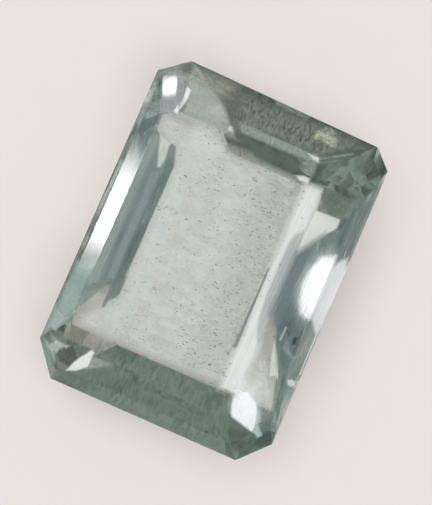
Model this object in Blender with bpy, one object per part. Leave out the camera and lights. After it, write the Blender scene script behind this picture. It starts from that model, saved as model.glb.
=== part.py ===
# A loose aquamarine in a hand-made emerald cut: one solid piece of beryl.
# It is made as a lapidary makes it. A block of rough is ground away by one flat facet at a time,
# and each facet is set by its side's direction, its angle and the level where its row starts.
# The stone stands on its flat culet, with its length along +Y and its width along +X.

import math
from typing import NamedTuple

import bmesh
import bpy
from mathutils import Matrix, Vector

# Driving dimensions, in millimetres
GIRDLE_HEIGHT = 0.3
# How high above the girdle the crown's first row ends, and how high the table lies
CROWN_LEVELS = (0.4, 1.2)
# How deep below the girdle the pavilion's first and second rows end, and how deep the culet lies
PAVILION_LEVELS = (2.15, 3.6, 4.5)
METRES_PER_MM = 0.001


class Side(NamedTuple):
    """One of the outline's eight sides, and the facets above and below it.

    The direction is the way that the side faces, seen from above, in degrees from +X. The reach is its
    distance from the cutter's centre line, in millimetres. The angles are those of its rows of facets
    from the girdle plane, in degrees, starting at the girdle."""

    direction: float
    reach: float
    crown: tuple
    pavilion: tuple


SIDES = {
    "right": Side(0.1, 6.54, crown=(68.5, 54.0), pavilion=(67.5, 53.5, 38.5)),
    "top_right": Side(45.1, 10.02, crown=(42.5, 24.0), pavilion=(45.0, 43.5, 23.0)),
    "top": Side(88.2, 8.77, crown=(30.5, 22.5), pavilion=(49.5, 42.5, 37.5)),
    "top_left": Side(128.0, 10.08, crown=(61.5, 21.0), pavilion=(37.0, 34.5, 13.5)),
    "left": Side(179.3, 6.46, crown=(53.5, 42.5), pavilion=(62.5, 42.5, 21.5)),
    "bottom_left": Side(217.5, 9.57, crown=(36.0, 32.0), pavilion=(38.5, 34.0, 17.5)),
    "bottom": Side(269.3, 8.96, crown=(30.0, 19.0), pavilion=(42.5, 38.5, 20.0)),
    "bottom_right": Side(316.6, 9.94, crown=(23.0, 19.0), pavilion=(53.5, 23.5, 19.5)),
}


def facing(direction, angle, up):
    """The way that a facet faces. At an angle of 0 it is level, and at 90 it stands upright."""
    turn, lean = math.radians(direction), math.radians(angle)
    side = math.sin(lean)
    rise = math.cos(lean) if up else -math.cos(lean)
    return Vector((side * math.cos(turn), side * math.sin(turn), rise))


def grind(stone, point, outward):
    """Grinds away what lies beyond one facet, and closes the flat that this leaves."""
    everything = stone.verts[:] + stone.edges[:] + stone.faces[:]
    cut = bmesh.ops.bisect_plane(
        stone, geom=everything, dist=1e-4, plane_co=point, plane_no=outward, clear_outer=True
    )
    rim = [part for part in cut["geom_cut"] if isinstance(part, bmesh.types.BMEdge)]
    if rim:
        bmesh.ops.edgeloop_fill(stone, edges=rim)


def grind_rows(stone, side, angles, levels, up):
    """Grinds one side's rows of facets, from the girdle to the table or to the culet."""
    inset, start = 0.0, 0.0
    for angle, end in zip(angles, levels, strict=True):
        point = facing(side.direction, 90.0, up) * (side.reach - inset)
        point.z = (start + GIRDLE_HEIGHT / 2) * (1 if up else -1)
        grind(stone, point, facing(side.direction, angle, up))
        inset += (end - start) / math.tan(math.radians(angle))
        start = end


def cut_stone():
    """The whole stone, with the middle of its girdle at a height of 0."""
    stone = bmesh.new()
    bmesh.ops.create_cube(stone, size=4 * max(side.reach for side in SIDES.values()))
    for level, up in ((CROWN_LEVELS[-1], True), (PAVILION_LEVELS[-1], False)):
        outward = facing(0.0, 0.0, up)
        grind(stone, outward * (level + GIRDLE_HEIGHT / 2), outward)
    for side in SIDES.values():
        outward = facing(side.direction, 90.0, True)
        grind(stone, outward * side.reach, outward)
        grind_rows(stone, side, side.crown, CROWN_LEVELS, True)
        grind_rows(stone, side, side.pavilion, PAVILION_LEVELS, False)
    return stone


def set_on_culet(stone):
    """Puts the middle of the stone's outline over the origin, and its culet at a height of 0."""
    low = Vector([min(corner.co[axis] for corner in stone.verts) for axis in range(3)])
    high = Vector([max(corner.co[axis] for corner in stone.verts) for axis in range(3)])
    middle = (low + high) / 2
    bmesh.ops.translate(stone, verts=stone.verts, vec=(-middle.x, -middle.y, -low.z))


def beryl():
    """Clear, pale grey-green aquamarine with a hand polish."""
    material = bpy.data.materials.new("beryl")
    material.use_nodes = True
    shader = material.node_tree.nodes["Principled BSDF"]
    shader.inputs["Base Color"].default_value = (0.62, 0.72, 0.67, 1.0)
    shader.inputs["Metallic"].default_value = 0.0
    shader.inputs["Roughness"].default_value = 0.03
    shader.inputs["IOR"].default_value = 1.577
    shader.inputs["Transmission Weight"].default_value = 0.9
    return material


for leftover in list(bpy.data.objects):
    bpy.data.objects.remove(leftover)

gem = cut_stone()
set_on_culet(gem)
bmesh.ops.transform(gem, matrix=Matrix.Scale(METRES_PER_MM, 4), verts=gem.verts)
mesh = bpy.data.meshes.new("gemstone")
gem.to_mesh(mesh)
gem.free()
mesh.materials.append(beryl())
gemstone = bpy.data.objects.new("gemstone", mesh)
bpy.context.scene.collection.objects.link(gemstone)
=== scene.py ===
import math
import random
from typing import NamedTuple

import bmesh
import bpy
from mathutils import Matrix, Vector


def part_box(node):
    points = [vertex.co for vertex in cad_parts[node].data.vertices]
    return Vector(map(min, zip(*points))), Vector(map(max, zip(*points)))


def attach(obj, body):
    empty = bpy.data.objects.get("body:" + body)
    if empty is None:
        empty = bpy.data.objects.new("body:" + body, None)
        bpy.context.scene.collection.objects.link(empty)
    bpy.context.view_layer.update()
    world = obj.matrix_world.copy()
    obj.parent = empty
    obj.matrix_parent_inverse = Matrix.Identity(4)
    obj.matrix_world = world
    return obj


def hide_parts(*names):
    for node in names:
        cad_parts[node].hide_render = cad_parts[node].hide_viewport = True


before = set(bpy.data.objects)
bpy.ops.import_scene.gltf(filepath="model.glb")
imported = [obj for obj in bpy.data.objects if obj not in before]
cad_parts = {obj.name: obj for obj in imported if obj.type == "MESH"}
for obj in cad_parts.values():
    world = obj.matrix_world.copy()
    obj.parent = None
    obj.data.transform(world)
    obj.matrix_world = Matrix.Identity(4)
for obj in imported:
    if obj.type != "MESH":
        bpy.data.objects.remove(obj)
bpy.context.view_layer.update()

low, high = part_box("gemstone")
scene = bpy.context.scene
MM = 0.001

# The stone: one piece of natural beryl, ground flat by flat on a lap and polished by hand.
# The facets are the frame's own. Handling has worn their edges a hair round, and the polish
# still carries the fine parallel lines of the lap.
MERGE_DISTANCE = 0.0001 * MM
FACET_SLACK = math.radians(0.3)
EDGE_WEAR = 0.022 * MM
BERYL_IOR = 1.577
BERYL_CLEAR = (0.94, 0.95, 0.95, 1.0)
BERYL_TINT = (0.25, 0.62, 0.36, 1.0)
BERYL_DENSITY = 22.0
# The length of each kind of mark along X, Y and Z, in millimetres
LAP_LINE = (0.035, 2.4, 0.035)
SLOW_WAVE = (3.2, 5.5, 3.2)
SMUDGE = (1.1, 1.6, 1.1)
LAP_LINE_DEPTH = 0.0002 * MM
SLOW_WAVE_DEPTH = 0.006 * MM
SMUDGE_EDGE = (0.58, 0.12)
POLISH_ROUGHNESS = 0.01
SMUDGE_ROUGHNESS = 0.015


class Number:
    """A number in a material's nodes. Python's arithmetic on it adds the Math nodes that work it out."""

    def __init__(self, finish, socket):
        self.finish = finish
        self.socket = socket

    def maths(self, operation, other):
        node = self.finish.node("ShaderNodeMath", {"operation": operation}, {0: self, 1: other})
        return Number(self.finish, node.outputs[0])

    def __add__(self, other):
        return self.maths("ADD", other)

    def __radd__(self, other):
        return self.maths("ADD", other)

    def __mul__(self, other):
        return self.maths("MULTIPLY", other)

    def __rmul__(self, other):
        return self.maths("MULTIPLY", other)

    def __rsub__(self, other):
        return (self * -1.0).maths("ADD", other)

    def above(self, edge, soft):
        """0 below the edge and 1 above it, with a soft step between."""
        settings = {"interpolation_type": "SMOOTHSTEP"}
        sockets = {"Value": self, "From Min": edge - soft, "From Max": edge + soft}
        step = self.finish.node("ShaderNodeMapRange", settings, sockets)
        return Number(self.finish, step.outputs[0])


class Finish:
    """A material, and the one way that nodes are added to it."""

    def __init__(self, name):
        self.material = bpy.data.materials.new(name)
        self.material.use_nodes = True
        self.tree = self.material.node_tree
        self.shader = self.tree.nodes["Principled BSDF"]
        self.output = self.tree.nodes["Material Output"]
        self.place = self.node("ShaderNodeTexCoord").outputs["Object"]

    def node(self, kind, settings=None, sockets=None):
        """Adds a node, with its settings and its sockets set."""
        node = self.tree.nodes.new(kind)
        for name, value in (settings or {}).items():
            setattr(node, name, value)
        self.fill(node, sockets or {})
        return node

    def fill(self, node, sockets):
        """Sets a node's sockets, each to a value or to a link."""
        for name, value in sockets.items():
            if isinstance(value, Number):
                value = value.socket
            if isinstance(value, bpy.types.NodeSocket):
                self.tree.links.new(value, node.inputs[name])
            else:
                node.inputs[name].default_value = value

    def grain(self, stretch, detail=2.0, roughness=0.5):
        """Noise whose lumps are this long along X, Y and Z, in millimetres."""
        size = [1.0 / (length * MM) for length in stretch]
        place = self.node("ShaderNodeMapping", {}, {"Vector": self.place, "Scale": size})
        sockets = {"Vector": place.outputs[0], "Scale": 1.0, "Detail": detail, "Roughness": roughness}
        return Number(self, self.node("ShaderNodeTexNoise", {}, sockets).outputs[0])

    def relief(self, height, depth, under=None):
        """A Bump node. The height runs from 0 to 1, and the depth is in metres."""
        sockets = {"Height": height, "Distance": depth, "Strength": 1.0}
        if under:
            sockets["Normal"] = under
        return self.node("ShaderNodeBump", {}, sockets).outputs[0]


def piece(name, shape, finish):
    """Turns a finished bmesh into an object that rides with the stone."""
    mesh = bpy.data.meshes.new(name)
    shape.to_mesh(mesh)
    shape.free()
    mesh.materials.append(finish.material)
    made = bpy.data.objects.new(name, mesh)
    scene.collection.objects.link(made)
    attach(made, "root")
    return made


polish = Finish("polished_beryl")
lap_lines = polish.grain(LAP_LINE, detail=3.0)
slow_wave = polish.grain(SLOW_WAVE, detail=0.0)
smudge = polish.grain(SMUDGE, detail=3.0).above(*SMUDGE_EDGE)
waves = polish.relief(slow_wave, SLOW_WAVE_DEPTH)
lines = polish.relief(lap_lines, LAP_LINE_DEPTH, waves)
polish.fill(polish.shader, {
    "Base Color": BERYL_CLEAR,
    "Roughness": POLISH_ROUGHNESS + SMUDGE_ROUGHNESS * smudge,
    "IOR": BERYL_IOR,
    "Transmission Weight": 1.0,
    "Normal": lines,
})
depths = polish.node("ShaderNodeVolumeAbsorption", {}, {"Color": BERYL_TINT, "Density": BERYL_DENSITY})
polish.fill(polish.output, {"Volume": depths.outputs[0]})

crystal = bmesh.new()
crystal.from_mesh(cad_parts["gemstone"].data)
bmesh.ops.remove_doubles(crystal, verts=crystal.verts, dist=MERGE_DISTANCE)
bmesh.ops.dissolve_limit(crystal, angle_limit=FACET_SLACK, verts=crystal.verts, edges=crystal.edges)
facets = [(face.calc_center_median(), face.normal.copy()) for face in crystal.faces]
for face in crystal.faces:
    face.smooth = False
bmesh.ops.bevel(
    crystal, geom=crystal.edges[:], offset=EDGE_WEAR, affect="EDGES", segments=2, profile=0.5,
    material=-1, clamp_overlap=True,
)
stone = piece("stone", crystal, polish)
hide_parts("gemstone")
# A clear stone would cast a black shadow here, so the lamps' light goes straight through it instead.
stone.visible_shadow = False

# The camera stands in for the photograph's: high over the table, with the stone leaning in the frame.
# Its places are counted in units of a quarter of the photograph's pixel, from the middle of the girdle.
# The stone's width, in millimetres and in units, sets the scale between the two.
STONE_WIDTH = 13.0
STONE_WIDTH_IN_PHOTO = 1014.3
UNIT = STONE_WIDTH / STONE_WIDTH_IN_PHOTO * MM
UNITS_A_PIXEL = 4
PHOTO_WIDTH = 432 * UNITS_A_PIXEL
PHOTO_MIDDLE = (590.2, 803.7)
STONE_LEAN = math.radians(23.1)
CAMERA_PLACE = (450.0, 604.0, 22000.0)
AIM_PLACE = (3.6, 33.6)
GIRDLE_LEVEL = 4.65 * MM
SENSOR = 36.0

lens = bpy.data.cameras.new("camera")
lens.sensor_fit = "HORIZONTAL"
lens.sensor_width = SENSOR
lens.lens = SENSOR * CAMERA_PLACE[2] / PHOTO_WIDTH
lens.clip_start = 1.0 * MM
camera = bpy.data.objects.new("camera", lens)
scene.collection.objects.link(camera)
scene.camera = camera
eye = Vector(CAMERA_PLACE) * UNIT + Vector((0, 0, GIRDLE_LEVEL))
aim = Vector((*AIM_PLACE, 0.0)) * UNIT + Vector((0, 0, GIRDLE_LEVEL))
back = (eye - aim).normalized()
up = Vector((-math.sin(STONE_LEAN), math.cos(STONE_LEAN), 0.0))
right = up.cross(back).normalized()
up = back.cross(right)
camera.matrix_world = Matrix.Translation(eye) @ Matrix((right, up, back)).transposed().to_4x4()


def sight_to(spot):
    """The camera's line of sight to a spot, counted in units from the photograph's corner."""
    across = (spot[0] - PHOTO_MIDDLE[0]) * UNIT
    along = (PHOTO_MIDDLE[1] - spot[1]) * UNIT
    return (Vector((across, along, GIRDLE_LEVEL)) - eye).normalized()


def first_facet(ray):
    """The facet that a line of sight from the camera enters, with how far away it is."""
    return max(((on - eye).dot(outward) / ray.dot(outward), index)
               for index, (on, outward) in enumerate(facets) if ray.dot(outward) < 0)


# The patches: most are painted light and shade. The dark bands, pale strips, white flares and
# highlights that the facets' inner reflections throw are painted as colour into thin patches just
# under the polish. A few are the stone's own marks: iron stain, a yellow feather, dark specks, a
# scratch, and the haze and growth tubes in the window.
# Each one is a thin patch that lies along the facet above it, the first in the list on top. Its
# outline is given in the camera's units, from above, and it thins out to nothing at its edge.
# Each kind of grain is the length of its lumps along X, Y and Z, in millimetres.
PATCH_BRUSH = (0.06, 1.2, 0.06)
PATCH_STREAK = (0.13, 2.6, 0.13)
PATCH_BAND = (0.22, 1.7, 0.22)
PATCH_CLOUD = (0.20, 0.16, 0.20)
PATCH_SPECK = (0.10, 0.08, 0.10)
PATCH_MOTTLE = (0.30, 0.60, 0.30)
PATCH_MIST = (0.9, 0.5, 0.9)
FIRST_PATCH_DEPTH = 0.08 * MM
PATCH_STEP = 0.002 * MM
PATCH_MARGIN = 0.03 * MM
TRIM_SLACK = 0.00001 * MM
PATCH_IOR = 1.2
PATCH_ROUGHNESS = 0.6
CLOUD_ROUGHNESS = 0.2
CLOUD_EDGE = (0.5, 0.16)
WHITE = (0.92, 0.94, 0.94)
PALE = (0.82, 0.83, 0.81)
SAGE = (0.34, 0.40, 0.36)
TEAL = (0.42, 0.53, 0.50)
SLATE = (0.15, 0.20, 0.195)
DARK = (0.10, 0.115, 0.10)
LILAC = (0.50, 0.505, 0.535)
STRAW = (0.55, 0.58, 0.45)
RUST = (0.31, 0.30, 0.235)


class PaintedLightAndInclusion(NamedTuple):
    """One patch. Most are painted light and shade, and a few are the stone's own marks. The thickness
    is the share of light that it stops, patchy is how much of that comes and goes with the grain,
    soft is the width of its edge in millimetres, and deeper is how much further into the stone it
    lies than the others do, in millimetres."""

    colour: tuple
    thickness: float
    patchy: float
    soft: float
    grain: tuple
    outline: tuple
    deeper: float = 0.0


PAINTED_LIGHT_AND_INCLUSIONS = {
    # The top right corner: painted dark green shade, with dark specks and blots and a thin sage line
    "corner_spot": PaintedLightAndInclusion(
        DARK, 0.75, 0.3, 0.14, PATCH_SPECK,
        ((915, 252), (926, 232), (942, 226), (946, 242), (932, 256)),
    ),
    "corner_dot": PaintedLightAndInclusion(
        DARK, 0.85, 0.2, 0.11, PATCH_SPECK,
        ((920, 302), (930, 291), (942, 300), (932, 312)),
    ),
    "corner_blot": PaintedLightAndInclusion(
        DARK, 0.6, 0.5, 0.22, PATCH_SPECK,
        ((938, 352), (945, 325), (970, 316), (980, 345), (960, 360)),
    ),
    "corner_cloud": PaintedLightAndInclusion(
        DARK, 0.75, 0.8, 0.26, PATCH_SPECK,
        ((962, 175), (1030, 185), (1036, 245), (985, 255), (960, 225)),
    ),
    "corner_patch": PaintedLightAndInclusion(
        DARK, 0.75, 0.4, 0.18, PATCH_CLOUD,
        ((1015, 280), (1030, 258), (1050, 230), (1084, 222), (1076, 250), (1040, 276)),
    ),
    "corner_step": PaintedLightAndInclusion(
        (0.14, 0.17, 0.145), 0.9, 0.4, 0.11, PATCH_CLOUD,
        ((888, 358), (1022, 362), (1004, 453), (900, 457), (896, 420)),
    ),
    # A thin sage line.
    "corner_line": PaintedLightAndInclusion(
        SAGE, 0.6, 0.4, 0.05, PATCH_CLOUD,
        ((825, 260), (880, 226), (945, 188), (945, 198), (880, 238), (828, 270)),
    ),
    "corner_green": PaintedLightAndInclusion(
        (0.20, 0.27, 0.22), 0.5, 0.7, 0.4, PATCH_CLOUD,
        ((850, 260), (940, 195), (1060, 200), (1075, 340), (960, 345), (860, 345)),
    ),
    # The yellow feather, and painted white flashes of highlight at the ends of the strip along the top,
    # with painted shade between them
    "yellow_feather": PaintedLightAndInclusion(
        STRAW, 0.95, 0.6, 0.16, PATCH_CLOUD,
        ((770, 194), (776, 165), (800, 138), (824, 134), (848, 144), (864, 168), (870, 192), (850, 202),
         (825, 197), (800, 188), (786, 198)),
    ),
    "top_flash": PaintedLightAndInclusion(
        PALE, 0.9, 0.2, 0.11, PATCH_CLOUD,
        ((778, 262), (826, 262), (828, 280), (802, 276)),
    ),
    "edge_flash": PaintedLightAndInclusion(
        PALE, 0.9, 0.25, 0.14, PATCH_CLOUD,
        ((768, 362), (798, 350), (824, 352), (822, 372), (788, 374)),
    ),
    "flash_tail": PaintedLightAndInclusion(
        SAGE, 0.7, 0.4, 0.22, PATCH_CLOUD,
        ((762, 302), (800, 284), (828, 280), (828, 348), (802, 350), (776, 330)),
    ),
    # The top left corner: painted light and shade, with a painted white arc of highlight, a white flash,
    # iron stain, and a painted wedge of pale reflection that reaches down from it
    "wedge_shade": PaintedLightAndInclusion(
        (0.155, 0.175, 0.15), 0.7, 0.3, 0.24, PATCH_CLOUD,
        ((350, 188), (400, 158), (440, 150), (504, 318), (482, 314), (440, 260), (400, 222)),
    ),
    # A painted white flash of highlight.
    "crown_flash": PaintedLightAndInclusion(
        PALE, 0.9, 0.2, 0.08, PATCH_CLOUD,
        ((438, 312), (446, 282), (458, 282), (482, 314)),
    ),
    # A painted white arc of highlight.
    "corner_arc": PaintedLightAndInclusion(
        WHITE, 0.95, 0.1, 0.08, PATCH_CLOUD,
        ((228, 206), (248, 212), (248, 252), (241, 286), (232, 320), (216, 317), (222, 285),
         (229, 245)),
    ),
    # A painted wedge of pale reflection.
    "corner_wedge": PaintedLightAndInclusion(
        (0.47, 0.51, 0.465), 0.75, 0.25, 0.4, PATCH_CLOUD,
        ((232, 160), (350, 170), (400, 215), (485, 318), (250, 318)),
    ),
    "iron_top": PaintedLightAndInclusion(
        (0.42, 0.405, 0.33), 0.7, 0.4, 0.5, PATCH_CLOUD,
        ((225, 122), (420, 124), (410, 175), (330, 195), (250, 180)),
    ),
    "corner_grey": PaintedLightAndInclusion(
        (0.40, 0.43, 0.44), 0.8, 0.25, 0.26, PATCH_CLOUD,
        ((165, 166), (200, 172), (232, 212), (234, 270), (226, 320), (205, 338), (172, 338), (152, 298),
         (136, 262), (130, 212), (145, 182)),
    ),
    "corner_rim": PaintedLightAndInclusion(
        (0.22, 0.24, 0.22), 0.8, 0.4, 0.18, PATCH_CLOUD,
        ((98, 192), (186, 116), (220, 122), (182, 160), (142, 186), (116, 232), (100, 245)),
    ),
    # Painted pale light at the foot of the wedge.
    "wedge_foot": PaintedLightAndInclusion(
        PALE, 0.35, 0.3, 0.55, PATCH_CLOUD,
        ((316, 325), (385, 312), (425, 350), (462, 398), (430, 440), (345, 410), (316, 372)),
    ),
    # Painted shade of the dark bands along the top, with a painted paler strip between them, and a patch
    # of iron stain
    "iron_band": PaintedLightAndInclusion(
        RUST, 0.7, 0.4, 0.26, PATCH_CLOUD,
        ((460, 350), (570, 345), (605, 386), (470, 388)),
    ),
    "edge_shade": PaintedLightAndInclusion(
        DARK, 0.6, 0.6, 0.26, PATCH_STREAK,
        ((440, 302), (780, 298), (795, 350), (470, 352)),
    ),
    "top_strip": PaintedLightAndInclusion(
        SAGE, 0.85, 0.5, 0.18, PATCH_STREAK,
        ((452, 256), (825, 255), (832, 272), (790, 290), (472, 290)),
    ),
    "top_gleams": PaintedLightAndInclusion(
        (0.40, 0.42, 0.375), 0.45, 1.0, 0.5, PATCH_STREAK,
        ((400, 150), (960, 150), (830, 252), (440, 252)),
    ),
    "top_streaks": PaintedLightAndInclusion(
        (0.09, 0.09, 0.075), 0.42, 0.95, 0.5, PATCH_BAND,
        ((405, 128), (960, 132), (940, 190), (830, 255), (430, 255)),
    ),
    # The left side: a band of painted shade, with a painted pale finger at its top and a fang of painted
    # shade at its foot
    "finger_shade": PaintedLightAndInclusion(
        SLATE, 0.9, 0.25, 0.11, PATCH_STREAK,
        ((254, 448), (266, 436), (280, 444), (292, 480), (304, 520), (302, 545), (268, 545),
         (262, 500)),
    ),
    "left_finger": PaintedLightAndInclusion(
        (0.64, 0.66, 0.63), 0.92, 0.25, 0.11, PATCH_STREAK,
        ((205, 425), (228, 500), (244, 548), (253, 545), (262, 505), (268, 470), (256, 440),
         (228, 432)),
    ),
    "left_fang": PaintedLightAndInclusion(
        SLATE, 0.9, 0.25, 0.11, PATCH_STREAK,
        ((250, 1035), (304, 1000), (303, 1076), (290, 1098), (275, 1114), (268, 1148), (258, 1152),
         (255, 1100)),
    ),
    "left_wedge": PaintedLightAndInclusion(
        (0.20, 0.25, 0.22), 0.85, 0.3, 0.14, PATCH_STREAK,
        ((172, 1092), (240, 1040), (246, 1056), (222, 1102), (205, 1134), (189, 1164), (172, 1194)),
    ),
    "left_gleam": PaintedLightAndInclusion(
        (0.30, 0.37, 0.37), 0.55, 0.6, 0.16, PATCH_STREAK,
        ((230, 575), (262, 565), (256, 1030), (234, 1040)),
    ),
    "left_edge": PaintedLightAndInclusion(
        (0.14, 0.19, 0.18), 0.7, 0.55, 0.2, PATCH_STREAK,
        ((262, 550), (300, 545), (300, 1000), (262, 1036)),
    ),
    "left_streaks": PaintedLightAndInclusion(
        (0.07, 0.10, 0.095), 0.45, 1.0, 0.26, PATCH_STREAK,
        ((206, 540), (298, 500), (298, 1090), (206, 1110)),
    ),
    "left_pale": PaintedLightAndInclusion(
        SAGE, 0.55, 0.5, 0.22, PATCH_STREAK,
        ((168, 430), (207, 430), (207, 1150), (168, 1160)),
    ),
    "left_sage": PaintedLightAndInclusion(
        SAGE, 0.8, 0.4, 0.32, PATCH_CLOUD,
        ((104, 240), (132, 250), (168, 322), (174, 350), (104, 350)),
    ),
    "left_dusk": PaintedLightAndInclusion(
        (0.21, 0.265, 0.275), 0.85, 0.45, 0.32, PATCH_STREAK,
        ((104, 335), (150, 325), (178, 345), (178, 540), (158, 580), (142, 525), (108, 490)),
    ),
    "left_foot": PaintedLightAndInclusion(
        (0.52, 0.62, 0.58), 0.85, 0.2, 0.18, PATCH_CLOUD,
        ((104, 1222), (150, 1245), (140, 1275), (128, 1308), (102, 1302)),
    ),
    "left_teal": PaintedLightAndInclusion(
        TEAL, 0.96, 0.2, 0.5, PATCH_CLOUD,
        ((100, 1020), (176, 990), (172, 1190), (150, 1250), (100, 1300)),
    ),
    # The bottom left corner: iron stain, a painted white arrow of highlight, and painted light and shade
    # round them
    "iron_corner": PaintedLightAndInclusion(
        (0.29, 0.285, 0.225), 0.85, 0.35, 0.14, PATCH_SPECK,
        ((150, 1260), (250, 1262), (240, 1320), (134, 1324)),
    ),
    "iron_side": PaintedLightAndInclusion(
        (0.40, 0.39, 0.34), 0.85, 0.25, 0.18, PATCH_CLOUD,
        ((244, 1262), (314, 1264), (304, 1300), (290, 1324), (262, 1320), (238, 1326)),
    ),
    # A painted white arrow of highlight.
    "leaf_highlight": PaintedLightAndInclusion(
        WHITE, 0.95, 0.15, 0.11, PATCH_CLOUD,
        ((227, 1438), (242, 1398), (258, 1368), (276, 1344), (291, 1316), (303, 1330), (301, 1392),
         (264, 1424)),
    ),
    "leaf_wing": PaintedLightAndInclusion(
        (0.37, 0.43, 0.39), 0.85, 0.3, 0.14, PATCH_CLOUD,
        ((300, 1344), (388, 1346), (332, 1384), (298, 1402)),
    ),
    # A pale green patch.
    "corner_pale": PaintedLightAndInclusion(
        (0.58, 0.62, 0.55), 0.85, 0.3, 0.11, PATCH_CLOUD,
        ((128, 1372), (144, 1344), (202, 1343), (166, 1390)),
    ),
    "corner_shade": PaintedLightAndInclusion(
        DARK, 0.92, 0.25, 0.16, PATCH_CLOUD,
        ((158, 1392), (180, 1360), (214, 1342), (246, 1366), (252, 1386), (238, 1418), (184, 1414)),
    ),
    "low_rim": PaintedLightAndInclusion(
        SAGE, 0.65, 0.4, 0.14, PATCH_CLOUD,
        ((94, 1376), (130, 1374), (160, 1396), (176, 1430), (192, 1482), (178, 1490)),
    ),
    # Painted shade of the dark band along the bottom, with painted paler gleams in it
    "bottom_gleams": PaintedLightAndInclusion(
        (0.25, 0.33, 0.28), 0.42, 1.0, 0.5, PATCH_STREAK,
        ((200, 1274), (860, 1274), (925, 1490), (210, 1490)),
    ),
    "bottom_shades": PaintedLightAndInclusion(
        (0.07, 0.09, 0.07), 0.34, 1.0, 0.5, PATCH_BAND,
        ((200, 1284), (860, 1284), (925, 1490), (210, 1490)),
    ),
    "bottom_streaks": PaintedLightAndInclusion(
        (0.13, 0.175, 0.145), 0.62, 0.6, 0.3, PATCH_MOTTLE,
        ((190, 1268), (870, 1268), (930, 1500), (200, 1500)),
    ),
    # Painted shade of the dark lens at the right edge of the table, with a dark dot, a scratch, and a
    # painted brushed highlight
    "lens_dot": PaintedLightAndInclusion(
        (0.02, 0.03, 0.03), 0.9, 0.2, 0.11, PATCH_SPECK,
        ((1014, 962), (1026, 956), (1032, 982), (1018, 990)),
    ),
    "lens_scratch": PaintedLightAndInclusion(
        TEAL, 0.8, 0.2, 0.05, PATCH_BRUSH,
        ((966, 932), (974, 934), (972, 994), (963, 992)),
    ),
    "lens_leaf": PaintedLightAndInclusion(
        (0.26, 0.34, 0.32), 0.85, 0.3, 0.11, PATCH_CLOUD,
        ((988, 978), (1000, 988), (1020, 1014), (1046, 1034), (1044, 1044), (1012, 1034), (990, 1018)),
    ),
    # A painted brushed highlight.
    "table_highlight": PaintedLightAndInclusion(
        (0.93, 0.94, 0.97), 0.95, 0.6, 0.26, PATCH_BRUSH,
        ((988, 620), (1012, 606), (1043, 590), (1043, 866), (1028, 872), (1000, 862), (978, 822),
         (962, 745), (968, 690)),
    ),
    "lens_deep": PaintedLightAndInclusion(
        (0.085, 0.12, 0.13), 0.78, 0.4, 0.4, PATCH_STREAK,
        ((946, 820), (985, 835), (1010, 860), (1043, 850), (1043, 1100), (1010, 1098), (985, 1055),
         (950, 985)),
    ),
    "lens_notch": PaintedLightAndInclusion(
        (0.07, 0.105, 0.105), 0.7, 0.3, 0.14, PATCH_STREAK,
        ((1002, 452), (1014, 436), (1024, 446), (1018, 492), (1006, 494)),
    ),
    "lens_top": PaintedLightAndInclusion(
        (0.13, 0.185, 0.18), 0.88, 0.35, 0.3, PATCH_STREAK,
        ((975, 560), (1003, 500), (1010, 440), (1043, 405), (1043, 600), (1010, 612), (972, 650),
         (955, 640)),
    ),
    "lens_left": PaintedLightAndInclusion(
        (0.15, 0.195, 0.21), 0.92, 0.2, 0.5, PATCH_STREAK,
        ((892, 650), (952, 560), (956, 990), (912, 936), (892, 910)),
    ),
    "lens_edge": PaintedLightAndInclusion(
        (0.70, 0.71, 0.67), 0.9, 0.1, 0.08, PATCH_CLOUD,
        ((944, 985), (1001, 1088), (1020, 1142), (1008, 1128), (985, 1140), (960, 1060)),
    ),
    # Painted light of the pale strip left of the lens, with a painted lilac strip and a dark line beside
    # it
    "right_ear": PaintedLightAndInclusion(
        (0.72, 0.73, 0.69), 0.92, 0.05, 0.11, PATCH_CLOUD,
        ((894, 456), (1002, 450), (1003, 490), (970, 528), (943, 584), (908, 642), (892, 660),
         (888, 560)),
    ),
    "right_lilac": PaintedLightAndInclusion(
        LILAC, 0.75, 0.3, 0.14, PATCH_STREAK,
        ((862, 584), (880, 560), (892, 575), (895, 640), (895, 900), (893, 1042), (868, 985),
         (857, 930), (849, 840), (849, 630)),
    ),
    "dark_line": PaintedLightAndInclusion(
        (0.12, 0.12, 0.11), 0.65, 0.2, 0.08, PATCH_STREAK,
        ((811, 745), (815, 745), (819, 1090), (803, 1092)),
    ),
    "right_pale": PaintedLightAndInclusion(
        (0.89, 0.905, 0.89), 0.72, 0.15, 0.42, PATCH_STREAK,
        ((812, 374), (893, 366), (897, 540), (864, 584), (854, 620), (853, 840), (861, 930), (873, 985),
         (897, 1045), (897, 1266), (820, 1266), (813, 900), (815, 600)),
    ),
    # The window's bluish left edge, a painted reflection
    "left_blue": PaintedLightAndInclusion(
        (0.68, 0.76, 0.77), 0.3, 0.2, 0.8, PATCH_STREAK,
        ((292, 470), (385, 480), (385, 1150), (292, 1170)),
    ),
    # The right crown facet: a painted brushed highlight with a white line and bright spots, and painted
    # shade above and below it
    "crown_line": PaintedLightAndInclusion(
        WHITE, 0.8, 0.2, 0.05, PATCH_BRUSH,
        ((1080, 870), (1090, 870), (1090, 1090), (1083, 1090)),
    ),
    # A painted brushed highlight.
    "crown_highlight": PaintedLightAndInclusion(
        (0.97, 0.975, 1.0), 0.98, 0.15, 0.26, PATCH_BRUSH,
        ((1030, 660), (1056, 606), (1078, 585), (1096, 640), (1096, 875), (1084, 920), (1062, 890),
         (1030, 850)),
    ),
    "crown_spot": PaintedLightAndInclusion(
        WHITE, 0.95, 0.15, 0.11, PATCH_SPECK,
        ((1050, 1128), (1062, 1118), (1077, 1120), (1084, 1134), (1072, 1148), (1056, 1144)),
    ),
    "crown_tail": PaintedLightAndInclusion(
        PALE, 0.6, 0.3, 0.11, PATCH_CLOUD,
        ((1076, 1120), (1098, 1108), (1098, 1146), (1078, 1146)),
    ),
    "crown_dusk": PaintedLightAndInclusion(
        (0.14, 0.20, 0.205), 0.8, 0.5, 0.22, PATCH_STREAK,
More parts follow.
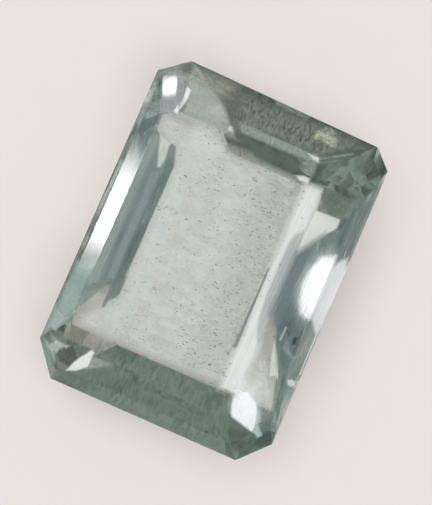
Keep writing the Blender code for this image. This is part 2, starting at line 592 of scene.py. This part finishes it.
        ((1030, 405), (1068, 330), (1094, 300), (1096, 610), (1030, 610)),
    ),
    "crown_teal": PaintedLightAndInclusion(
        (0.23, 0.31, 0.28), 0.8, 0.5, 0.22, PATCH_STREAK,
        ((1030, 870), (1096, 880), (1098, 1290), (1072, 1262), (1036, 1100)),
    ),
    # The bright flare in the bottom right corner: a painted highlight, with painted shade round it
    "flare_side": PaintedLightAndInclusion(
        (0.50, 0.60, 0.58), 0.9, 0.2, 0.14, PATCH_CLOUD,
        ((985, 1268), (1008, 1288), (1018, 1335), (1048, 1370), (1034, 1384), (1010, 1370),
         (1004, 1320)),
    ),
    "flare": PaintedLightAndInclusion(
        (0.95, 0.96, 0.98), 0.98, 0.08, 0.16, PATCH_STREAK,
        ((884, 1238), (930, 1230), (975, 1258), (1002, 1288), (1010, 1330), (1014, 1368), (1000, 1371),
         (950, 1358), (910, 1348), (896, 1335), (887, 1310), (880, 1280)),
    ),
    "flare_glow": PaintedLightAndInclusion(
        WHITE, 0.5, 0.1, 0.6, PATCH_CLOUD,
        ((862, 1190), (960, 1190), (1000, 1300), (880, 1310)),
    ),
    "flare_foot": PaintedLightAndInclusion(
        (0.45, 0.45, 0.42), 0.75, 0.3, 0.22, PATCH_CLOUD,
        ((832, 1264), (886, 1264), (886, 1300), (898, 1340), (866, 1338), (850, 1300)),
    ),
    "flare_shade": PaintedLightAndInclusion(
        (0.15, 0.205, 0.185), 0.88, 0.35, 0.14, PATCH_CLOUD,
        ((966, 1267), (1062, 1265), (1068, 1310), (1054, 1348), (1032, 1352), (1010, 1300)),
    ),
    "flare_under": PaintedLightAndInclusion(
        DARK, 0.55, 0.6, 0.4, PATCH_CLOUD,
        ((880, 1345), (1020, 1378), (1036, 1392), (1010, 1435), (920, 1425)),
    ),
    # The haze and the crowd of growth tubes that fill the window
    "crowd": PaintedLightAndInclusion(
        (0.16, 0.20, 0.17), 0.12, 0.8, 1.0, PATCH_MIST,
        ((640, 400), (825, 390), (822, 1150), (660, 1200)),
        deeper=0.45,
    ),
    "cloud": PaintedLightAndInclusion(
        (0.83, 0.84, 0.805), 0.45, 0.4, 0.4, PATCH_MIST,
        ((192, 345), (900, 378), (900, 620), (882, 700), (882, 900), (905, 1050), (1010, 1180),
         (1035, 1248), (200, 1248), (200, 1215), (318, 1080), (318, 540), (250, 436), (196, 400)),
        deeper=0.65,
    ),
}

for number, (name, light_and_inclusion) in enumerate(PAINTED_LIGHT_AND_INCLUSIONS.items()):
    middle = [sum(axis) / len(light_and_inclusion.outline) for axis in zip(*light_and_inclusion.outline)]
    on, outward = facets[first_facet(sight_to(middle))[1]]
    depth = FIRST_PATCH_DEPTH + number * PATCH_STEP + light_and_inclusion.deeper * MM
    under = on - outward * depth
    patch = bmesh.new()
    layer = patch.verts.layers.float.new("thickness")
    corners = []
    for spot in light_and_inclusion.outline:
        ray = sight_to(spot)
        corners.append(patch.verts.new(eye + ray * ((under - eye).dot(outward) / ray.dot(outward))))
    whole = patch.faces.new(corners)
    patch.normal_update()
    # The soft edge lies half inside the outline and half outside it.
    bmesh.ops.inset_individual(patch, faces=[whole], thickness=light_and_inclusion.soft / 2 * MM, use_even_offset=True)
    for vertex in patch.verts:
        vertex[layer] = 0.0 if vertex.is_boundary else 1.0
    for vertex in [vertex for vertex in patch.verts if vertex.is_boundary]:
        inner = next(edge.other_vert(vertex) for edge in vertex.link_edges if not edge.is_boundary)
        vertex.co += vertex.co - inner.co
    # What would come out of the stone beside its facet is trimmed away.
    for on, outward in facets:
        bmesh.ops.bisect_plane(
            patch, geom=patch.verts[:] + patch.edges[:] + patch.faces[:], dist=TRIM_SLACK,
            plane_co=on - outward * PATCH_MARGIN, plane_no=outward, clear_outer=True,
        )
    bmesh.ops.triangulate(patch, faces=patch.faces[:])
    patch_finish = Finish(f"{name}_veil")
    solid = Number(patch_finish, patch_finish.node("ShaderNodeAttribute", {"attribute_name": "thickness"}).outputs["Fac"])
    clouds = patch_finish.grain(light_and_inclusion.grain, detail=4.0, roughness=0.6).above(*CLOUD_EDGE)
    evenly = (1.0 - light_and_inclusion.patchy) * light_and_inclusion.thickness
    patch_finish.fill(patch_finish.shader, {
        "Base Color": (*light_and_inclusion.colour, 1.0),
        "Roughness": PATCH_ROUGHNESS + CLOUD_ROUGHNESS * clouds,
        "IOR": PATCH_IOR,
        "Alpha": solid * (clouds * (light_and_inclusion.patchy * light_and_inclusion.thickness) + evenly),
    })
    piece(name, patch, patch_finish)

# The flecks: tiny flattened flakes and broken hollow tubes that the crystal took in as it grew.
# They lie across the stone's length, thickest on the right of the middle, and look like dark dashes.
# The deep ones fill the crystal, and the near ones lie just under the table's bright window. Their
# lengths, thicknesses and depths are in millimetres.
FLECK_SEED = 11
FLECK_COUNT = 1500
FLECK_THICKNESS = (0.020, 0.042)
FLECK_LENGTH = (0.05, 0.26)
FLECK_LEAN = math.radians(16.0)
FLECK_MARGIN = 0.12 * MM
# Where the deep flecks crowd, how far the crowd reaches, and the share that stays outside it and below it
CROWD_MIDDLE = 2.6 * MM
CROWD_REACH = 1.6 * MM
CROWD_LEVEL = 3.6 * MM
SPARSE_SHARE = 0.35
LOW_SHARE = 0.3
NEAR_FLECK_COUNT = 420
NEAR_FLECK_THICKNESS = (0.024, 0.044)
NEAR_FLECK_LENGTH = 0.09
NEAR_FLECK_STRETCH = 0.14
NEAR_FLECK_DEPTH = (0.04, 0.14)
BIG_FLECK_LENGTH = 0.3
# Where the near flecks crowd, the window that they fill, and the largest ones, in the camera's units
NEAR_CROWD_MIDDLE = 710.0
NEAR_CROWD_REACH = 130.0
WINDOW_ACROSS = (310.0, 830.0)
WINDOW_ALONG = (330.0, 1230.0)
BIG_FLECKS = (
    (362, 680), (385, 690), (485, 681), (648, 512), (676, 518), (710, 414), (724, 649), (786, 624),
    (433, 512), (360, 536), (640, 880), (765, 700), (590, 1000),
)

flake = Finish("dark_flake")
flake.fill(flake.shader, {
    "Base Color": (0.13, 0.14, 0.12, 1.0),
    "Roughness": 0.55 + 0.2 * flake.grain((0.05, 0.05, 0.05)),
    "Alpha": 0.54,
})
chance = random.Random(FLECK_SEED)
flecks = bmesh.new()


def crowding(place, middle, reach):
    """How likely a fleck is kept, from 1 in the crowd's middle to the share that stays outside it."""
    return SPARSE_SHARE + (1.0 - SPARSE_SHARE) * math.exp(-((place - middle) / reach) ** 2)


def deep_places():
    """Random points inside the stone, clear of its facets, with fewer of them low down."""
    found = []
    while len(found) < FLECK_COUNT:
        point = Vector([chance.uniform(low[axis], high[axis]) for axis in range(3)])
        if any((point - on).dot(outward) >= -FLECK_MARGIN for on, outward in facets):
            continue
        share = 1.0 if point.z > CROWD_LEVEL else LOW_SHARE
        if chance.random() < share * crowding(point.x, CROWD_MIDDLE, CROWD_REACH):
            found.append(point)
    return found


def fleck(point, length, thick):
    """One flake, lying across the stone and a little askew."""
    turned = Matrix.Rotation(chance.gauss(0.0, FLECK_LEAN), 4, "Z")
    lifted = Matrix.Rotation(chance.gauss(0.0, FLECK_LEAN), 4, "Y")
    stretched = Matrix.Diagonal((length * MM, thick * MM, thick * MM, 1.0))
    shape = Matrix.Translation(point) @ turned @ lifted @ stretched
    bmesh.ops.create_icosphere(flecks, subdivisions=1, radius=0.5, matrix=shape)


for point in deep_places():
    length = FLECK_LENGTH[0] + (FLECK_LENGTH[1] - FLECK_LENGTH[0]) * chance.random() ** 3
    fleck(point, length, chance.uniform(*FLECK_THICKNESS))
near = [(*spot, BIG_FLECK_LENGTH) for spot in BIG_FLECKS]
while len(near) < NEAR_FLECK_COUNT:
    spot = (chance.uniform(*WINDOW_ACROSS), chance.uniform(*WINDOW_ALONG))
    if chance.random() < crowding(spot[0], NEAR_CROWD_MIDDLE, NEAR_CROWD_REACH):
        near.append((*spot, NEAR_FLECK_LENGTH + NEAR_FLECK_STRETCH * chance.random() ** 2))
for across, along, length in near:
    ray = sight_to((across, along))
    reach, _ = first_facet(ray)
    point = eye + ray * (reach + chance.uniform(*NEAR_FLECK_DEPTH) * MM)
    fleck(point, length, chance.uniform(*NEAR_FLECK_THICKNESS))
piece("flecks", flecks, flake)

# The floor stands in for the photograph's table: a wide sheet of plain pale card.
FLOOR_SIZE = 2000 * MM
FLOOR_GAP = 0.02 * MM
FLOOR_COLOUR = (0.797, 0.722, 0.694, 1.0)

card = Finish("pale_card")
card.fill(card.shader, {
    "Base Color": FLOOR_COLOUR,
    "Roughness": 0.75 + 0.1 * card.grain((3.0, 3.0, 3.0)),
})
sheet = bmesh.new()
bmesh.ops.create_grid(sheet, x_segments=1, y_segments=1, size=FLOOR_SIZE)
floor_mesh = bpy.data.meshes.new("floor")
sheet.to_mesh(floor_mesh)
sheet.free()
floor_mesh.materials.append(card.material)
floor = bpy.data.objects.new("floor", floor_mesh)
floor.location.z = low[2] - FLOOR_GAP
scene.collection.objects.link(floor)

# The room is dim and even round the stone, and a little bluer across it than along it.
SKY_ALONG = (0.288, 0.318, 0.292, 1.0)
SKY_ACROSS = (0.270, 0.306, 0.328, 1.0)
# The Mix node has several sockets by each name, and these are the numbers of its colour sockets.
FIRST_COLOUR, SECOND_COLOUR, MIXED_COLOUR = 6, 7, 2

sky = bpy.data.worlds.new("soft_sky")
sky.use_nodes = True
links = sky.node_tree.links
background = sky.node_tree.nodes["Background"]
toward = sky.node_tree.nodes.new("ShaderNodeTexCoord")
axes = sky.node_tree.nodes.new("ShaderNodeSeparateXYZ")
across = sky.node_tree.nodes.new("ShaderNodeMath")
across.operation = "ABSOLUTE"
blend = sky.node_tree.nodes.new("ShaderNodeMix")
blend.data_type = "RGBA"
blend.inputs[FIRST_COLOUR].default_value = SKY_ALONG
blend.inputs[SECOND_COLOUR].default_value = SKY_ACROSS
links.new(toward.outputs["Generated"], axes.inputs[0])
links.new(axes.outputs["X"], across.inputs[0])
links.new(across.outputs[0], blend.inputs["Factor"])
links.new(blend.outputs[MIXED_COLOUR], background.inputs["Color"])
scene.world = sky

# Two wide soft lamps hang over the stone, a little to either side, and light the card and the patches.
# Their places are in millimetres, and their power is in watts.
KEY_SIZE = 520 * MM
KEY_POWER = 2.9
KEY_PLACES = ((-180, 110, 800), (180, -80, 800))

for number, place in enumerate(KEY_PLACES):
    lamp = bpy.data.lights.new(f"key_{number}", "AREA")
    lamp.shape = "DISK"
    lamp.size = KEY_SIZE
    lamp.energy = KEY_POWER
    lamp.color = (1.0, 1.0, 1.0)
    key = bpy.data.objects.new(f"key_{number}", lamp)
    key.location = Vector(place) * MM
    key.rotation_euler = key.location.to_track_quat("Z", "Y").to_euler()
    key.visible_camera = False
    key.visible_glossy = False
    key.visible_transmission = False
    scene.collection.objects.link(key)

# A few small glowing panels stand where the polished facets mirror them to the camera, and nothing
# but a reflection shows them. The glow fades out softly from a panel's middle to its rim.
PANEL_MARGIN = 1.6
GLOW_EDGE = (0.9, 0.6)


class Glint(NamedTuple):
    """A highlight's middle in the camera's units, its width, length and panel's distance in
    millimetres, and its strength."""

    spot: tuple
    width: float
    length: float
    distance: float
    strength: float


GLINTS = {
    "left_strip": Glint((135, 768), 3.0, 5.5, 60.0, 18.0),
    "left_corner": Glint((163, 234), 0.5, 0.95, 60.0, 40.0),
    "right_glow": Glint((1030, 735), 1.8, 3.5, 60.0, 10.0),
}

for name, glint in GLINTS.items():
    ray = sight_to(glint.spot)
    reach, index = first_facet(ray)
    outward = facets[index][1]
    hit = eye + ray * reach
    mirrored = ray - 2 * ray.dot(outward) * outward
    side = mirrored.cross(Vector((0, 1, 0))).normalized()
    along = side.cross(mirrored).normalized()
    # The panel stands further from the camera than the facet does, so it is larger than its highlight.
    grow = 1 + glint.distance * MM / (eye - hit).length
    half = (glint.width * MM * grow / 2, glint.length * MM * grow / 2)
    shade = bmesh.new()
    bmesh.ops.create_grid(shade, x_segments=1, y_segments=1, size=1.0)
    size = Matrix.Diagonal((half[0] * PANEL_MARGIN, half[1] * PANEL_MARGIN, 1.0, 1.0))
    bmesh.ops.transform(shade, verts=shade.verts, matrix=size)
    glow = Finish(f"{name}_glow")
    glow.tree.nodes.remove(glow.shader)
    sockets = {"Vector": glow.place, "Scale": (1 / half[0], 1 / half[1], 0.0)}
    oval = glow.node("ShaderNodeMapping", {}, sockets).outputs[0]
    measure = glow.node("ShaderNodeVectorMath", {"operation": "LENGTH"}, {0: oval})
    fall = 1.0 - Number(glow, measure.outputs["Value"]).above(*GLOW_EDGE)
    light = glow.node("ShaderNodeEmission", {}, {"Strength": fall * glint.strength})
    glow.fill(glow.output, {"Surface": light.outputs[0]})
    panel_mesh = bpy.data.meshes.new(name)
    shade.to_mesh(panel_mesh)
    shade.free()
    panel_mesh.materials.append(glow.material)
    panel = bpy.data.objects.new(name, panel_mesh)
    turned = Matrix((side, along, side.cross(along))).transposed().to_4x4()
    panel.matrix_world = Matrix.Translation(hit + mirrored * glint.distance * MM) @ turned
    panel.visible_camera = False
    panel.visible_diffuse = False
    panel.visible_transmission = False
    panel.visible_shadow = False
    scene.collection.objects.link(panel)

# One more small lamp shows only through the stone, as the bright light that some of the crown's
# facets refract to the camera. Its width is half of the angle that it fills, seen from the stone.
BEAM_HEADING = math.radians(350.0)
BEAM_RISE = math.radians(67.0)
BEAM_WIDTH = math.radians(6.0)
BEAM_STRENGTH = 4.0
BEAM_DISTANCE = 300 * MM

turned = Matrix.Rotation(BEAM_HEADING, 3, "Z") @ Matrix.Rotation(-BEAM_RISE, 3, "Y")
toward = turned @ Vector((1, 0, 0))
lamp = bpy.data.lights.new("crown_beam", "AREA")
lamp.shape = "DISK"
lamp.size = 2 * BEAM_DISTANCE * math.tan(BEAM_WIDTH)
lamp.energy = BEAM_STRENGTH * math.pi * math.pi * (lamp.size / 2) ** 2
beam = bpy.data.objects.new("crown_beam", lamp)
beam.location = toward * BEAM_DISTANCE
beam.rotation_euler = toward.to_track_quat("Z", "Y").to_euler()
beam.visible_camera = False
beam.visible_diffuse = False
beam.visible_glossy = False
scene.collection.objects.link(beam)

scene.view_settings.view_transform = "Standard"
scene.cycles.max_bounces = 24
scene.cycles.transmission_bounces = 24
scene.cycles.glossy_bounces = 12
